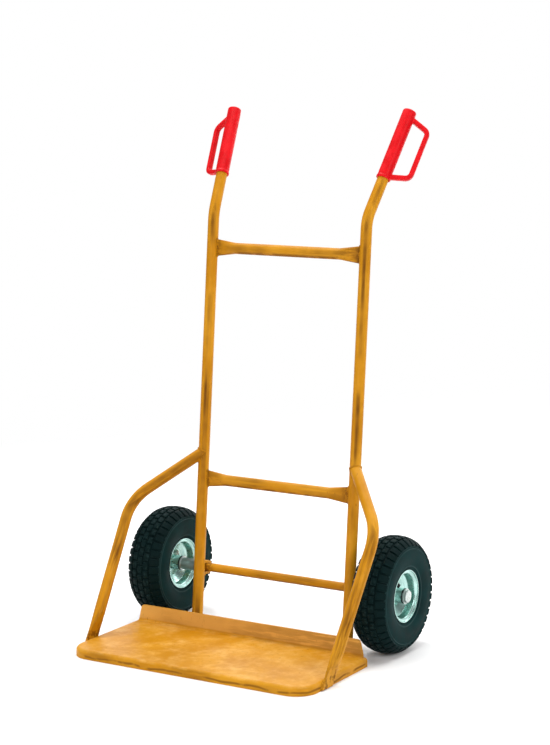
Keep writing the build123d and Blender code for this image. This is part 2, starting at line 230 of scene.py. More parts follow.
def larger(tree, first, second):
    return maths(tree, "MAXIMUM", first, second)


def distanceFrom(tree, value, middle):
    return maths(tree, "ABSOLUTE", maths(tree, "SUBTRACT", value, middle))


def dotProduct(tree, first, second):
    sockets = {0: first, 1: second}
    return addNode(tree, "ShaderNodeVectorMath", sockets, operation="DOT_PRODUCT").outputs["Value"]


def softStep(tree, value, limits, result=(0.0, 1.0)):  # eases from one result to the other between the limits
    sockets = {0: value, 1: limits[0], 2: limits[1], 3: result[0], 4: result[1]}
    return addNode(tree, "ShaderNodeMapRange", sockets, interpolation_type="SMOOTHSTEP").outputs[0]


def blendColour(tree, factor, first, second):
    return addNode(tree, "ShaderNodeMix", {0: factor, 6: first, 7: second}, data_type="RGBA").outputs[2]


def noise(tree, vector, scale, detail=4.0, roughness=0.55):
    sockets = {"Vector": vector, "Scale": scale, "Detail": detail, "Roughness": roughness}
    return addNode(tree, "ShaderNodeTexNoise", sockets).outputs["Fac"]


def objectPlace(tree):
    return addNode(tree, "ShaderNodeTexCoord").outputs["Object"]


def surfaceNormal(tree):
    return addNode(tree, "ShaderNodeNewGeometry").outputs["Normal"]


def partsOf(tree, vector):
    return addNode(tree, "ShaderNodeSeparateXYZ", {0: vector}).outputs


def newGroup(name, inputs, outputs):
    tree = bpy.data.node_groups.new(name, "ShaderNodeTree")
    for label, kind, value in inputs:
        socket = tree.interface.new_socket(label, in_out="INPUT", socket_type="NodeSocket" + kind)
        socket.default_value = value
    for label in outputs:
        tree.interface.new_socket(label, in_out="OUTPUT", socket_type="NodeSocketFloat")
    return tree, tree.nodes.new("NodeGroupInput").outputs, tree.nodes.new("NodeGroupOutput").inputs


def useGroup(tree, group, **values):
    return addNode(tree, "ShaderNodeGroup", values, node_tree=group).outputs


# effects that several finishes share
effects = {
    "streakGaps": (0.36, 0.62),
    "wearPatches": (0.42, 0.6),
    "bevelSamples": 6,
    "lineWander": (0.3, 0.7),
    "lineHeight": (0.0050, 0.0100),  # metres up, between which the dark line wanders
    "lineWidth": (0.0006, 0.0042),  # metres off that line, over which it fades
    "lineGaps": (0.40, 0.52),
    "footHeight": (0.015, 0.065),  # metres up, over which the dirt at the feet fades
    "footBlotches": (0.45, 0.60),
    "dustUpward": (0.2, 0.95),
    "dustClumps": (0.4, 0.75),
}


def makeRunStreaks():  # stains drawn out along one way, broken up at a larger scale
    inputs = (("stretch", "Vector", (1, 1, 1)), ("turn", "Vector", (0, 0, 0)),
              ("low", "Float", 0.5), ("high", "Float", 0.7), ("patch", "Float", 6.0))
    tree, given, put = newGroup("runStreaks", inputs, ("mask",))
    place = objectPlace(tree)
    turning = {"Vector": place, "Rotation": given["turn"]}
    turned = addNode(tree, "ShaderNodeVectorRotate", turning, rotation_type="EULER_XYZ").outputs[0]
    drawing = {0: turned, 1: given["stretch"]}
    drawn = addNode(tree, "ShaderNodeVectorMath", drawing, operation="MULTIPLY").outputs[0]
    lines = noise(tree, drawn, scale=1.0, detail=5.0, roughness=0.6)
    streak = softStep(tree, lines, (given["low"], given["high"]))
    gaps = softStep(tree, noise(tree, place, given["patch"], detail=3.0), effects["streakGaps"])
    tree.links.new(times(tree, streak, gaps), put["mask"])
    return tree


def makeFacing():  # how squarely the surface faces one way
    inputs = (("way", "Vector", (0, -1, 0)), ("low", "Float", 0.6), ("high", "Float", 0.95))
    tree, given, put = newGroup("facing", inputs, ("mask",))
    square = dotProduct(tree, surfaceNormal(tree), given["way"])
    tree.links.new(softStep(tree, square, (given["low"], given["high"])), put["mask"])
    return tree


def makeEdgeWearAndHighlight():  # patchy wear where a rounded-off edge would turn away from its face; on the tyre it paints highlights on the block corners
    inputs = (("radius", "Float", 0.002), ("patch", "Float", 60.0),
              ("low", "Float", 0.02), ("high", "Float", 0.2))
    tree, given, put = newGroup("edgeWearAndHighlight", inputs, ("mask",))
    rounding = {"Radius": given["radius"]}
    rounded = addNode(tree, "ShaderNodeBevel", rounding, samples=effects["bevelSamples"]).outputs[0]
    away = maths(tree, "SUBTRACT", 1.0, dotProduct(tree, surfaceNormal(tree), rounded))
    edge = softStep(tree, away, (given["low"], given["high"]))
    clouds = noise(tree, objectPlace(tree), given["patch"], detail=5.0, roughness=0.65)
    tree.links.new(times(tree, edge, softStep(tree, clouds, effects["wearPatches"])), put["mask"])
    return tree


def makeNearGround():  # a broken dark line just off the ground, and blotches at the feet of tubes
    inputs = (("line", "Float", 0.0), ("foot", "Float", 0.0))
    tree, given, put = newGroup("nearGround", inputs, ("mask",))
    place = objectPlace(tree)
    height = partsOf(tree, place)["Z"]
    waves = noise(tree, place, scale=14.0, detail=2.0)
    wander = softStep(tree, waves, effects["lineWander"], effects["lineHeight"])
    near = softStep(tree, distanceFrom(tree, height, wander), effects["lineWidth"], (1.0, 0.0))
    gaps = softStep(tree, noise(tree, place, scale=17.0), effects["lineGaps"])
    line = times(tree, times(tree, near, gaps), given["line"])
    low = softStep(tree, height, effects["footHeight"], (1.0, 0.0))
    blotch = softStep(tree, noise(tree, place, scale=75.0), effects["footBlotches"])
    foot = times(tree, times(tree, low, blotch), given["foot"])
    tree.links.new(larger(tree, line, foot), put["mask"])
    return tree


def makeFineGrain():  # a fine uneven skin, as height
    inputs = (("scale", "Float", 600.0), ("detail", "Float", 3.0))
    tree, given, put = newGroup("fineGrain", inputs, ("height",))
    tree.links.new(noise(tree, objectPlace(tree), given["scale"], given["detail"]), put["height"])
    return tree


def makeSettledDust():  # thin dust on what faces up
    inputs = (("scale", "Float", 14.0), ("amount", "Float", 0.4))
    tree, given, put = newGroup("settledDust", inputs, ("mask",))
    upward = softStep(tree, partsOf(tree, surfaceNormal(tree))["Z"], effects["dustUpward"])
    clouds = noise(tree, objectPlace(tree), given["scale"], detail=6.0, roughness=0.7)
    settled = times(tree, upward, softStep(tree, clouds, effects["dustClumps"]))
    tree.links.new(times(tree, settled, given["amount"]), put["mask"])
    return tree


def makeAroundAxle():  # distance from the axle's line, turn about it, and place along it
    middle = middleOf("axle")
    tree, _, put = newGroup("aroundAxle", (), ("radius", "turn", "across"))
    parts = partsOf(tree, objectPlace(tree))
    back = maths(tree, "SUBTRACT", parts["Y"], middle.y)
    up = maths(tree, "SUBTRACT", parts["Z"], middle.z)
    squared = maths(tree, "ADD", times(tree, back, back), times(tree, up, up))
    tree.links.new(maths(tree, "SQRT", squared), put["radius"])
    tree.links.new(maths(tree, "ARCTAN2", up, back), put["turn"])
    tree.links.new(parts["X"], put["across"])
    return tree


runStreaks = makeRunStreaks()
facing = makeFacing()
edgeWearAndHighlight = makeEdgeWearAndHighlight()
nearGround = makeNearGround()
fineGrain = makeFineGrain()
settledDust = makeSettledDust()
aroundAxle = makeAroundAxle()
print("shared effects ready")


def newMaterial(name):
    material = bpy.data.materials.new(name)
    material.use_nodes = True
    tree = material.node_tree
    return material, tree, tree.nodes["Principled BSDF"]


def feed(tree, shader, **sockets):  # camelCase names stand for the shader's own socket names
    labels = {"baseColour": "Base Color", "roughness": "Roughness", "metallic": "Metallic",
              "normal": "Normal", "specular": "Specular IOR Level"}
    for name, value in sockets.items():
        socket = shader.inputs[labels[name]]
        if isinstance(value, bpy.types.NodeSocket):
            tree.links.new(value, socket)
        else:
            socket.default_value = value


def bump(tree, height, look):
    sockets = {"Height": height, "Strength": look["strength"], "Distance": look["distance"]}
    return addNode(tree, "ShaderNodeBump", sockets).outputs[0]


def dress(material, *nodes):  # a carried-over node keeps its mesh and takes a new finish
    for node in nodes:
        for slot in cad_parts[node].material_slots:
            slot.material = material


# ochre paint, its stains drawn out along each kind of piece, with painted shade down the tubes and on the
# undersides, and painted light on the plate's back wall
paint = {
    "light": (0.60, 0.270, 0.012, 1.0),
    "deep": (0.49, 0.200, 0.003, 1.0),
    # the colour of the stains, also used for the painted shade
    "stainAndShade": (0.135, 0.045, 0.001, 1.0),
    "dust": (0.80, 0.47, 0.14, 1.0),
    "tone": (0.35, 0.68),
    "shadedSide": (0.50, -0.866, 0.0),  # painted shade: a dark stripe down the side of each tube turned to the front right, broken up like stains
    "backShadedSide": (-0.64, 0.768, 0.0),  # and, more thinly, on this one, the back left
    "backShadeShare": 0.7,
    # painted shade on what faces down and to the front, in blotches
    "underside": {"way": (0.15, -0.25, -0.957), "low": 0.45, "high": 0.85},
    "underBlotches": (0.34, 0.58),
    "underLeast": 0.25,
    # painted light: the front face of the plate's back wall, above its foot, is lightened towards the dust
    # colour
    "front": {"way": (0.0, -1.0, 0.0), "low": 0.55, "high": 0.90},
    "wallFoot": (0.023, 0.029),  # metres up, where the plate's back wall stands clear of its floor
    "bendHeight": (0.285, 0.310),  # metres up, where the arms bend
    "streaks": {"low": 0.34, "high": 0.56, "patch": 6.0},
    "speckle": {"stretch": (150, 150, 60), "low": 0.60, "high": 0.74, "patch": 18.0},
    "speckleShare": 0.55,
    "wear": {"radius": 0.0022, "patch": 70.0, "low": 0.03, "high": 0.25},
    "wearShare": 0.6,
    "endBlotches": (0.38, 0.58),
    "endDarkening": (0.15, 0.85),
    "rough": (0.40, 0.68),
    "roughTone": 0.35,
    "roughReach": (0.0, 1.2),
    "specular": 0.12,
    "grain": {"scale": 520.0, "detail": 2.0},
    "bump": {"strength": 0.12, "distance": 0.0006},
}
plainLook = {"turn": (0, 0, 0), "dust": 0.06, "foot": 0.0, "line": 0.0, "under": 0.0, "paintedWallLight": 0.0}
armLook = {"stretch": (85, 85, 6), "turn": (0.561, 0, 0), "shadeFacing": (0.45, 0.92), "amount": 0.95,
           "foot": 0.85, "under": 0.35}
paintLooks = {
    "uprightPaint": {"stretch": (85, 85, 1.6), "turn": (0.085, 0, 0), "shadeFacing": (0.82, 0.99), "amount": 0.95,
                     "nodes": ("left_upright", "right_upright")},
    "crossbarPaint": {"stretch": (3, 90, 110), "shadeFacing": (-0.2, 0.6), "amount": 0.60, "under": 0.8,
                      "ends": (0.160, 0.184),  # metres from the middle
                      "nodes": ("upper_crossbar", "lower_crossbar", "axle")},
    "leftArmPaint": {**armLook, "upperTurn": (0.876, -0.635, 0), "nodes": ("left_side_arm",)},
    "rightArmPaint": {**armLook, "upperTurn": (0.876, 0.635, 0), "nodes": ("right_side_arm",)},
    "platePaint": {"stretch": (12, 26, 110), "turn": (0, 0, 0.2), "shadeFacing": (0.1, 0.9), "amount": 0.45,
                   "dust": 0.55, "line": 0.75, "paintedWallLight": 0.50,
                   "nodes": ("toe_plate", "left_runner", "right_runner",
                             "left_axle_saddle", "right_axle_saddle")},
    "weldPaint": {"stretch": (70, 70, 70), "shadeFacing": (-1.2, -1.0), "amount": 0.90, "dust": 0.0, "under": 0.35,
                  "nodes": ()},
}


# streaked stains, kept to a stripe of painted shade down the side of each tube turned to the front right, and
# more thinly down the back left
def paintStreaksAndShade(tree, look):
    stains = {"stretch": look["stretch"], **paint["streaks"]}
    streak = useGroup(tree, runStreaks, turn=look["turn"], **stains)["mask"]
    if "upperTurn" in look:  # a bent arm runs another way above its bend
        upper = useGroup(tree, runStreaks, turn=look["upperTurn"], **stains)["mask"]
        above = softStep(tree, partsOf(tree, objectPlace(tree))["Z"], paint["bendHeight"])
        streak = addNode(tree, "ShaderNodeMix", {0: above, 2: streak, 3: upper}, data_type="FLOAT").outputs[0]
    low, high = look["shadeFacing"]
    shadeFacing = useGroup(tree, facing, way=paint["shadedSide"], low=low, high=high)["mask"]
    backShadeFacing = useGroup(tree, facing, way=paint["backShadedSide"], low=low, high=high)["mask"]
    paintedShade = larger(tree, shadeFacing, times(tree, backShadeFacing, paint["backShadeShare"]))
    return times(tree, times(tree, streak, paintedShade), look["amount"])


def paintStainsAndShade(tree, look):  # all that darkens the paint, as one mask: stains, wear and painted shade
    place = objectPlace(tree)
    dark = paintStreaksAndShade(tree, look)
    dark = larger(tree, dark, useGroup(tree, nearGround, line=look["line"], foot=look["foot"])["mask"])
    # painted shade on the undersides, in blotches
    under = useGroup(tree, facing, **paint["underside"])["mask"]
    clouds = noise(tree, place, scale=34.0)
    blotch = softStep(tree, clouds, paint["underBlotches"], (paint["underLeast"], look["under"]))
    dark = larger(tree, dark, times(tree, under, blotch))
    if "ends" in look:  # darker in blotches towards the bar's ends, where it meets the uprights
        outward = maths(tree, "ABSOLUTE", partsOf(tree, place)["X"])
        reach = softStep(tree, outward, look["ends"])
        endClouds = noise(tree, place, scale=90.0, detail=3.0)
        endDark = softStep(tree, endClouds, paint["endBlotches"], paint["endDarkening"])
        dark = larger(tree, dark, times(tree, reach, endDark))
    speckle = useGroup(tree, runStreaks, turn=look["turn"], **paint["speckle"])["mask"]
    dark = larger(tree, dark, times(tree, speckle, paint["speckleShare"]))
    wornAndLit = useGroup(tree, edgeWearAndHighlight, **paint["wear"])["mask"]
    return larger(tree, dark, times(tree, wornAndLit, paint["wearShare"]))


def makePaint(name, look):
    material, tree, shader = newMaterial(name)
    place = objectPlace(tree)
    tone = softStep(tree, noise(tree, place, scale=9.0, detail=5.0, roughness=0.6), paint["tone"])
    dark = paintStainsAndShade(tree, look)
    dust = useGroup(tree, settledDust, scale=22.0, amount=look["dust"])["mask"]
    # painted light: front faces above the wall's foot, the plate's back wall, are lightened towards the dust
    # colour
    front = useGroup(tree, facing, **paint["front"])["mask"]
    litWall = times(tree, front, softStep(tree, partsOf(tree, place)["Z"], paint["wallFoot"]))
    colour = blendColour(tree, tone, paint["deep"], paint["light"])
    colour = blendColour(tree, dust, colour, paint["dust"])
    colour = blendColour(tree, times(tree, litWall, look["paintedWallLight"]), colour, paint["dust"])
    colour = blendColour(tree, dark, colour, paint["stainAndShade"])
    dullness = maths(tree, "ADD", dark, times(tree, tone, paint["roughTone"]))
    grain = useGroup(tree, fineGrain, **paint["grain"])["height"]
    feed(tree, shader, baseColour=colour, specular=paint["specular"],
         roughness=softStep(tree, dullness, paint["roughReach"], paint["rough"]),
         normal=bump(tree, grain, paint["bump"]))
    return material


paints = {}
for name, look in paintLooks.items():
    paints[name] = makePaint(name, {**plainLook, **look})
    dress(paints[name], *look["nodes"])
print("frame painted")


# bright zinc of the pressed rims, and duller zinc on the small steel pieces
zinc = {
    "turnScale": 0.004,  # brushing runs round the axle, so it changes slowly along the turn
    "acrossScale": 0.2,
    "brushShare": 0.5,
    "cloudShare": 0.5,
    "tone": (0.35, 0.65),
    "bump": {"strength": 0.05, "distance": 0.0003},
}
zincLooks = {
    "rimZinc": {"dull": (0.33, 0.52, 0.48, 1.0), "bright": (0.50, 0.74, 0.69, 1.0), "rough": (0.20, 0.30),
                "pieces": ("outer_rim", "inner_rim", "hub")},
    "washerZinc": {"dull": (0.38, 0.43, 0.42, 1.0), "bright": (0.58, 0.63, 0.61, 1.0), "rough": (0.26, 0.48),
                   "pieces": ("axle_spacer", "inner_washer", "outer_washer", "axle_cap")},
    "boltZinc": {"dull": (0.42, 0.45, 0.40, 1.0), "bright": (0.66, 0.68, 0.60, 1.0), "rough": (0.24, 0.44),
                 "pieces": ("rim_bolts", "rim_nuts")},
}


def makeZinc(name, look):
    material, tree, shader = newMaterial(name)
    wheel = useGroup(tree, aroundAxle)
    rings = addNode(tree, "ShaderNodeCombineXYZ", {
        "X": wheel["radius"],
        "Y": times(tree, wheel["turn"], zinc["turnScale"]),
        "Z": times(tree, wheel["across"], zinc["acrossScale"]),
    })
    brushed = noise(tree, rings.outputs[0], scale=240.0, detail=2.0, roughness=0.5)
    clouds = noise(tree, objectPlace(tree), scale=24.0, detail=2.0, roughness=0.5)
    brushing = times(tree, brushed, zinc["brushShare"])
    clouding = times(tree, clouds, zinc["cloudShare"])
    tone = softStep(tree, maths(tree, "ADD", brushing, clouding), zinc["tone"])
    smooth, dull = look["rough"]
    feed(tree, shader, baseColour=blendColour(tree, tone, look["dull"], look["bright"]), metallic=1.0,
         roughness=softStep(tree, tone, (0.0, 1.0), (dull, smooth)), normal=bump(tree, brushed, zinc["bump"]))
    return material


for name, look in zincLooks.items():
    finish = makeZinc(name, look)
    dress(finish, *[side + piece for side in ("left_", "right_") for piece in look["pieces"]])
print("zinc dressed")


# moulded plastics
plastic = {
    "tone": (0.3, 0.7),
    "dust": (0.6, 0.5, 0.48, 1.0),
    "dustAmount": 0.03,
    "specular": 0.14,
    "grain": {"scale": 420.0, "detail": 1.0},
    "bump": {"strength": 0.05, "distance": 0.0004},
}
plasticLooks = {
    "gripPlastic": {"low": (0.56, 0.002, 0.005, 1.0), "high": (0.70, 0.003, 0.008, 1.0),
                    "rough": (0.34, 0.48)},
    "bushPlastic": {"low": (0.012, 0.013, 0.014, 1.0), "high": (0.030, 0.032, 0.034, 1.0),
                    "rough": (0.35, 0.5)},
    "capPlastic": {"low": (0.008, 0.009, 0.010, 1.0), "high": (0.020, 0.021, 0.022, 1.0),
                   "rough": (0.3, 0.5)},
}


def makePlastic(name, look):
    material, tree, shader = newMaterial(name)
    clouds = noise(tree, objectPlace(tree), scale=38.0, detail=5.0, roughness=0.6)
    tone = softStep(tree, clouds, plastic["tone"])
    dust = useGroup(tree, settledDust, scale=60.0, amount=plastic["dustAmount"])["mask"]
    colour = blendColour(tree, tone, look["low"], look["high"])
    colour = blendColour(tree, dust, colour, plastic["dust"])
    grain = useGroup(tree, fineGrain, **plastic["grain"])["height"]
    feed(tree, shader, baseColour=colour, specular=plastic["specular"],
         roughness=softStep(tree, tone, (0.0, 1.0), look["rough"]), normal=bump(tree, grain, plastic["bump"]))
    return material


plastics = {name: makePlastic(name, look) for name, look in plasticLooks.items()}
for side in ("left_", "right_"):
    dress(plastics["bushPlastic"], side + "outer_bush", side + "inner_bush")
    dress(plastics["capPlastic"], side + "valve_cap")
print("plastics ready")


# rubber, blacker on the tread than on the side walls: painted shade on the tread against the lit side walls,
# and painted highlights on the block corners and rib crests
rubber = {
    "deep": (0.0018, 0.0062, 0.0066, 1.0),
    # painted light: the side walls' lighter tone; the tread's darker tone is painted shade
    "wornAndLit": (0.0035, 0.0250, 0.0255, 1.0),
    # this colour paints dust and scuffs, and also the painted highlights on block corners and rib crests
    "dust": (0.030, 0.062, 0.062, 1.0),
    "turnScale": 0.03,
    "treadStart": (0.104, 0.116),  # metres from the axle's line
    "treadShade": 0.25,
    "treadTop": (0.1245, 0.1285),
    "clouds": (0.30, 0.66),
    "cloudTone": (0.45, 1.0),
    "grit": (0.45, 0.75),
    "gritScuff": (0.0, 0.5),
    "ribs": (0.1090, 0.1051, 0.0664),  # crests of the ribs round the side walls, which get a painted highlight
    "ribWidth": (0.0005, 0.0020),
    "ribHighlight": 0.60,
    # painted highlight on the corners of the tread blocks
    "cornerHighlight": {"radius": 0.0014, "patch": 45.0, "low": 0.02, "high": 0.22},
    "cornerHighlightShare": 0.75,
    "roughClouds": (0.25, 0.75),
    "rough": (0.48, 0.64),
    "specular": 0.04,
    "grain": {"scale": 900.0, "detail": 3.0},
    "lineShare": 0.5,
    "bump": {"strength": 0.16, "distance": 0.0005},
}


def makeRubber(name):
    material, tree, shader = newMaterial(name)
    place = objectPlace(tree)
    wheel = useGroup(tree, aroundAxle)
    turn = times(tree, wheel["turn"], rubber["turnScale"])
    rings = addNode(tree, "ShaderNodeCombineXYZ", {"X": wheel["radius"], "Y": turn}).outputs[0]
    lines = noise(tree, rings, scale=420.0, detail=3.0, roughness=0.6)
    clouds = noise(tree, place, scale=26.0, detail=6.0, roughness=0.65)
    # painted shade: the tread darker than the lit side walls
    side = softStep(tree, wheel["radius"], rubber["treadStart"], (1.0, rubber["treadShade"]))
    tone = times(tree, side, softStep(tree, clouds, rubber["clouds"], rubber["cloudTone"]))
    grit = noise(tree, place, scale=190.0, detail=5.0, roughness=0.7)
    top = softStep(tree, wheel["radius"], rubber["treadTop"])
    scuffAndHighlight = times(tree, top, softStep(tree, grit, rubber["grit"], rubber["gritScuff"]))
    # painted highlight on the corners of the tread blocks
    cornerHighlight = useGroup(tree, edgeWearAndHighlight, **rubber["cornerHighlight"])["mask"]
    scuffAndHighlight = larger(tree, scuffAndHighlight, times(tree, cornerHighlight, rubber["cornerHighlightShare"]))
    # painted highlight along the crests of the side-wall ribs
    for crest in rubber["ribs"]:
        off = distanceFrom(tree, wheel["radius"], crest)
        scuffAndHighlight = larger(tree, scuffAndHighlight, softStep(tree, off, rubber["ribWidth"], (rubber["ribHighlight"], 0.0)))
    colour = blendColour(tree, tone, rubber["deep"], rubber["wornAndLit"])
    colour = blendColour(tree, scuffAndHighlight, colour, rubber["dust"])
    grain = useGroup(tree, fineGrain, **rubber["grain"])["height"]
    height = maths(tree, "ADD", grain, times(tree, lines, rubber["lineShare"]))
    feed(tree, shader, baseColour=colour, specular=rubber["specular"],
         roughness=softStep(tree, clouds, rubber["roughClouds"], rubber["rough"]),
         normal=bump(tree, height, rubber["bump"]))
    return material


tyreRubber = makeRubber("tyreRubber")
tubeRubber = makeRubber("tubeRubber")
for side in ("left_", "right_"):
    dress(tubeRubber, side + "inner_tube", side + "valve_stem")
print("rubber ready")


# tyres, spun from half a section, with five rows of blocks raised from it
tyre = {
    "lugs": 40,
    "stepsPerLug": 8,
    "blockSteps": 6,
    "blockHeight": 0.004,
    "blockEdge": 0.0007,
    "edgeSegments": 2,
    "blockFoot": 0.1095,  # blocks stop at this distance from the axle's line
    "sharpAngle": 38,  # degrees, past which an edge stays sharp
    "startSize": 0.001,
    "rows": ((-0.042, -0.0225, 0), (-0.0195, -0.0085, 4), (-0.0055, 0.0055, 0),
             (0.0085, 0.0195, 4), (0.0225, 0.042, 0)),  # from, to and shift in steps
    "section": (  # across and from the axle's line, from the crown down one side to the bead and back inside
        (0.0, 0.126), (0.0055, 0.1259), (0.0085, 0.1257), (0.0140, 0.1249), (0.0195, 0.1236),
        (0.0225, 0.1226), (0.0290, 0.1196), (0.0345, 0.1150), (0.0385, 0.1110), (0.0397, 0.1098),
        (0.0409, 0.1090), (0.0400, 0.1080), (0.0408, 0.1061), (0.0423, 0.1051), (0.0412, 0.1040),
        (0.0421, 0.0980), (0.0425, 0.0905), (0.0420, 0.0820), (0.0404, 0.0740), (0.0382, 0.0672),
        (0.0380, 0.0655), (0.0358, 0.0640), (0.0338, 0.0598), (0.0305, 0.0582), (0.0276, 0.0511),
        (0.0146, 0.0511), (0.0150, 0.0571), (0.0300, 0.0680), (0.0362, 0.0860), (0.0320, 0.1050),
        (0.0180, 0.1165), (0.0, 0.1200),
    ),
}
tyreSteps = tyre["lugs"] * tyre["stepsPerLug"]
mergeDistance = 1e-6


def spinTyre(name):
    section = tyre["section"]
    clearSelection()
    bpy.ops.mesh.primitive_plane_add(size=tyre["startSize"])
    ring = bpy.context.object
    ring.name = name
    bpy.ops.object.mode_set(mode="EDIT")
    bpy.ops.mesh.select_mode(type="VERT")
    bpy.ops.mesh.select_all(action="SELECT")
    bpy.ops.mesh.merge(type="CENTER")  # one point, drawn out along the section
    bpy.ops.transform.translate(value=(section[0][0], 0, section[0][1]))
    for here, there in zip(section, section[1:]):
        way = (there[0] - here[0], 0, there[1] - here[1])
        bpy.ops.mesh.extrude_region_move(TRANSFORM_OT_translate={"value": way})
    bpy.ops.mesh.select_all(action="SELECT")
    bpy.ops.mesh.spin(steps=tyreSteps, angle=2 * math.pi, center=(0, 0, 0), axis=(1, 0, 0))
    bpy.ops.object.mode_set(mode="OBJECT")
    mirror = ring.modifiers.new("otherHalf", "MIRROR")
    mirror.use_axis = (True, False, False)
    mirror.merge_threshold = 10 * mergeDistance
    applyModifiers(ring)
    bpy.ops.object.mode_set(mode="EDIT")
    bpy.ops.mesh.select_all(action="SELECT")
    bpy.ops.mesh.remove_doubles(threshold=mergeDistance)
    bpy.ops.mesh.normals_make_consistent(inside=False)
    bpy.ops.object.mode_set(mode="OBJECT")
    return ring


def isBlock(face):  # is this face of the spun ring the foot of a tread block
    middle = face.center
    outside = middle.y * face.normal.y + middle.z * face.normal.z > 0
    if not outside or math.hypot(middle.y, middle.z) < tyre["blockFoot"]:
        return False
    step = math.atan2(middle.y, middle.z) / (2 * math.pi) * tyreSteps
    for start, end, shift in tyre["rows"]:
        if start < middle.x < end:
            return (step + shift) % tyre["stepsPerLug"] < tyre["blockSteps"]
    return False


def raiseBlocks(ring):
    pickFaces(ring, isBlock)
    bpy.ops.mesh.extrude_region_shrink_fatten(TRANSFORM_OT_shrink_fatten={"value": tyre["blockHeight"]})
    bpy.ops.mesh.region_to_loop()
    bpy.ops.mesh.bevel(offset=tyre["blockEdge"], segments=tyre["edgeSegments"], affect="EDGES")
    bpy.ops.object.mode_set(mode="OBJECT")
    bpy.ops.object.shade_smooth_by_angle(angle=math.radians(tyre["sharpAngle"]))


def moveMesh(piece, way):  # moves the mesh and leaves the object at the origin
    pick(piece)
    bpy.ops.object.mode_set(mode="EDIT")
    bpy.ops.mesh.select_all(action="SELECT")
    bpy.ops.transform.translate(value=way)
    bpy.ops.object.mode_set(mode="OBJECT")


firstTyre = spinTyre("rightTyre")
raiseBlocks(firstTyre)
secondTyre = copyOf(firstTyre, "leftTyre")
for piece, side in ((firstTyre, "right_"), (secondTyre, "left_")):
    moveMesh(piece, middleOf(side + "tyre"))
    piece.data.materials.append(tyreRubber)
    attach(piece, side + "wheel")
    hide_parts(side + "tyre")
print("tyres made,", len(firstTyre.data.polygons), "faces each")


# grips, the moulded corners softened
grip = {"voxel": 0.0009, "softening": 8, "softFactor": 0.5}


def mouldGrip(side):
    piece = copyOf(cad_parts[side + "_grip"], side + "GripMoulding")
    pick(piece)
    bpy.ops.object.mode_set(mode="EDIT")
    bpy.ops.mesh.select_all(action="SELECT")
    bpy.ops.mesh.remove_doubles(threshold=mergeDistance)
    bpy.ops.object.mode_set(mode="OBJECT")
    remesh = piece.modifiers.new("evenSkin", "REMESH")
    remesh.mode = "VOXEL"
    remesh.voxel_size = grip["voxel"]
    smooth = piece.modifiers.new("softCorners", "SMOOTH")
    smooth.factor = grip["softFactor"]
    smooth.iterations = grip["softening"]
    applyModifiers(piece)
    bpy.ops.object.shade_smooth()
    piece.data.materials.clear()
    piece.data.materials.append(plastics["gripPlastic"])
    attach(piece, "frame")
    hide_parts(side + "_grip")
    return piece


for side in ("left", "right"):
    moulding = mouldGrip(side)
    dress(plastics["gripPlastic"], side + "_grip")
print("grips moulded,", len(moulding.data.polygons), "faces each")


# weld beads along the seams of the frame
tube = {
    "radius": 0.0127,
    "uprightX": 0.1975,
    "leanSlope": 0.08485,  # metres back for each metre up
    "uprightY": 0.07541,  # at the axle's height
}
weld = {
    "length": 0.0042,
    "width": 0.0052,
    "height": 0.0026,
    "segments": 8,
    "rings": 5,
    "tailStart": -0.2,  # share of the length, from the middle
    "tailSize": (0.8, 0.7, 0.7),
}


def uprightMiddle(height):
    return tube["uprightY"] + tube["leanSlope"] * (height - middleOf("axle").z)


def onSide(vector, side):  # the same place or way on the right, 1, or the left, -1
    return Vector((side * vector.x, vector.y, vector.z))


def modelBead():  # one ripple of a bead: a low dome, drawn in towards its tail
    clearSelection()
    bpy.ops.mesh.primitive_uv_sphere_add(segments=weld["segments"], ring_count=weld["rings"], radius=0.5)
    bead = bpy.context.object
    bead.name = "weldRipple"
    bpy.ops.object.mode_set(mode="EDIT")
    bpy.ops.mesh.select_all(action="SELECT")
    bpy.ops.transform.resize(value=(weld["length"], weld["width"], 2 * weld["height"]))
    pickFaces(bead, lambda face: face.center.x < weld["tailStart"] * weld["length"])
    bpy.ops.transform.resize(value=weld["tailSize"], center_override=(0, 0, 0))
    bpy.ops.object.mode_set(mode="OBJECT")
    bpy.ops.object.shade_smooth()
    return bead


def layBeads(name, bead, seams):  # a seam is a list of places with the way out of the corner
    ripples = []
    for seam in seams:
        for index, (place, outward) in enumerate(seam):
            before = seam[max(index - 1, 0)][0]
            after = seam[min(index + 1, len(seam) - 1)][0]
            along = (after - before).normalized()
            outward = (outward - along * outward.dot(along)).normalized()
            across = outward.cross(along)
            ripple = copyOf(bead, name)
            turn = Matrix((along, across, outward)).transposed().to_4x4()
            ripple.matrix_world = Matrix.Translation(place) @ turn
            ripples.append(ripple)
    pick(*ripples)
    bpy.ops.object.join()
    joined = bpy.context.object
    joined.name = name
    bpy.ops.object.transform_apply(location=True, rotation=True, scale=True)
    joined.data.materials.append(paints["weldPaint"])
    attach(joined, "frame")


def evenStops(count):
    return [index / count for index in range(count + 1)]


def roundStops(count):
    return [2 * math.pi * share for share in evenStops(count)]


# each seam's own sizes, in metres
seams = {
    "crossbar": {"beads": 40, "halfFlat": 0.0169, "halfThin": 0.0025, "squareness": 1.25},
    "upright": {"beads": 38},
    "arm": {"beads": 52, "bend": (0.316, -0.02531, 0.298), "jointHeight": 0.401},
    "saddle": {"beads": 10, "halfWidth": 0.0105, "legHeight": 0.0152, "lift": 0.001},
    "armFoot": {"beads": 9, "foot": (0.3003, -0.21255, 0.0), "up": (0, 0.5320, 0.8467),
                "back": (0, 0.8467, -0.5320), "halfWidth": 0.0194, "low": 0.003, "length": 0.012,
                "outward": (0.7, 0.6, -0.4)},
}
cornerWay = 0.7  # a way out of a corner has this much of each side's own way


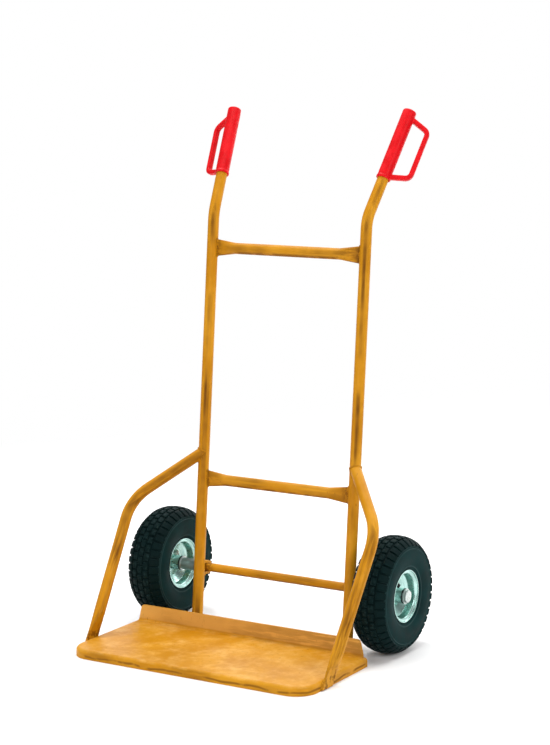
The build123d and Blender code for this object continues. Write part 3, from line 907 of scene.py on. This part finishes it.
def crossbarSeam(height, side):  # round the flattened end, where it meets the upright
    size = seams["crossbar"]
    seam = []
    for turn in roundStops(size["beads"]):
        sine = math.sin(turn)
        squared = math.copysign(min(1.0, abs(sine) * size["squareness"]), sine)
        up = size["halfFlat"] * squared + size["halfThin"] * sine
        y = uprightMiddle(height) + size["halfThin"] * math.cos(turn)
        offAxis = y - uprightMiddle(height + up)
        x = tube["uprightX"] - math.sqrt(tube["radius"] ** 2 - offAxis ** 2)
        outward = Vector((-1, math.cos(turn), sine)) * cornerWay
        seam.append((onSide(Vector((x, y, height + up)), side), onSide(outward, side)))
    return seam


def uprightSeam(side):  # round the upright's foot on its runner
    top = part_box("right_runner")[1][2]
    middle = Vector((side * tube["uprightX"], uprightMiddle(top), top))
    seam = []
    for turn in roundStops(seams["upright"]["beads"]):
        ring = Vector((math.cos(turn), math.sin(turn), 0))
        seam.append((middle + ring * tube["radius"], ring + Vector((0, 0, 1))))
    return seam


def armSeam(side):  # where the arm's round end meets the upright
    size = seams["arm"]
    radius = tube["radius"]
    bend = Vector(size["bend"])
    joint = Vector((tube["uprightX"], uprightMiddle(size["jointHeight"]), size["jointHeight"]))
    way = (joint - bend).normalized()
    axis = Vector((0, tube["leanSlope"], 1)).normalized()
    first = way.cross(axis).normalized()
    second = way.cross(first)
    flatWay = way - axis * way.dot(axis)
    seam = []
    for turn in roundStops(size["beads"]):
        ring = first * math.cos(turn) + second * math.sin(turn)
        start = bend + ring * radius - joint
        flatStart = start - axis * start.dot(axis)
        a = flatWay.dot(flatWay)  # a quadratic gives where the arm's line enters the upright
        b = flatWay.dot(flatStart)
        c = flatStart.dot(flatStart) - radius ** 2
        reach = (-b - math.sqrt(max(b * b - a * c, 0.0))) / a
        place = bend + ring * radius + way * reach
        outward = ring + (flatStart + flatWay * reach) / radius
        seam.append((onSide(place, side), onSide(outward, side)))
    return seam


def saddleSeam(side, upper):  # the saddle's leg on the back of the upright
    size = seams["saddle"]
    z = middleOf("axle").z + upper * size["legHeight"] + size["lift"]
    seam = []
    for share in evenStops(size["beads"]):
        across = size["halfWidth"] * (2 * share - 1)
        y = uprightMiddle(z) + math.sqrt(tube["radius"] ** 2 - across ** 2)
        place = Vector((side * tube["uprightX"] + across, y, z))
        seam.append((place, Vector((0, 1, upper)) * cornerWay))
    return seam


def armFootSeam(side, edge):  # the flattened foot's edge against the plate's lip
    size = seams["armFoot"]
    up = Vector(size["up"])
    out, along, down = size["outward"]
    outward = Vector((out, along * edge, down * edge))
    seam = []
    for share in evenStops(size["beads"]):
        height = size["low"] + size["length"] * share
        place = Vector(size["foot"]) + Vector(size["back"]) * edge * size["halfWidth"]
        place += up * ((height - place.z) / up.z)
        seam.append((onSide(place, side), onSide(outward, side)))
    return seam


bead = modelBead()
sides = (1, -1)
crossbarHeights = [middleOf("upper_crossbar").z, middleOf("lower_crossbar").z]
layBeads("crossbarWelds", bead, [crossbarSeam(height, side) for height in crossbarHeights for side in sides])
layBeads("armWelds", bead, [armSeam(side) for side in sides])
layBeads("uprightFootWelds", bead, [uprightSeam(side) for side in sides])
layBeads("saddleWelds", bead, [saddleSeam(side, upper) for side in sides for upper in sides])
layBeads("armFootWelds", bead, [armFootSeam(side, edge) for side in sides for edge in sides])
bpy.data.objects.remove(bead)
print("welds laid")


# floor finish
floorLook = {
    "low": (0.90, 0.90, 0.90, 1.0),
    "high": (0.93, 0.93, 0.93, 1.0),
    "rough": 0.9,
    "fade": (1.0, 2.6),  # metres from the trolley, over which the floor runs out into white
}


def makeFloorFinish():
    material, tree, shader = newMaterial("paleFloor")
    place = objectPlace(tree)
    clouds = noise(tree, place, scale=0.8, detail=3.0)
    feed(tree, shader, baseColour=blendColour(tree, clouds, floorLook["low"], floorLook["high"]),
         roughness=floorLook["rough"])
    away = addNode(tree, "ShaderNodeVectorMath", {0: place}, operation="LENGTH").outputs["Value"]
    seen = addNode(tree, "ShaderNodeLightPath").outputs["Is Camera Ray"]
    far = times(tree, softStep(tree, away, floorLook["fade"]), seen)
    white = addNode(tree, "ShaderNodeEmission").outputs[0]
    faded = addNode(tree, "ShaderNodeMixShader", {0: far, 1: shader.outputs[0], 2: white}).outputs[0]
    behind = addNode(tree, "ShaderNodeNewGeometry").outputs["Backfacing"]
    clear = addNode(tree, "ShaderNodeBsdfTransparent").outputs[0]
    surface = addNode(tree, "ShaderNodeMixShader", {0: behind, 1: faded, 2: clear}).outputs[0]
    tree.links.new(surface, tree.nodes["Material Output"].inputs["Surface"])
    material.cycles.emission_sampling = "NONE"  # the white is only seen, and lights nothing
    return material


floor.data.materials.append(makeFloorFinish())
print("floor finished")
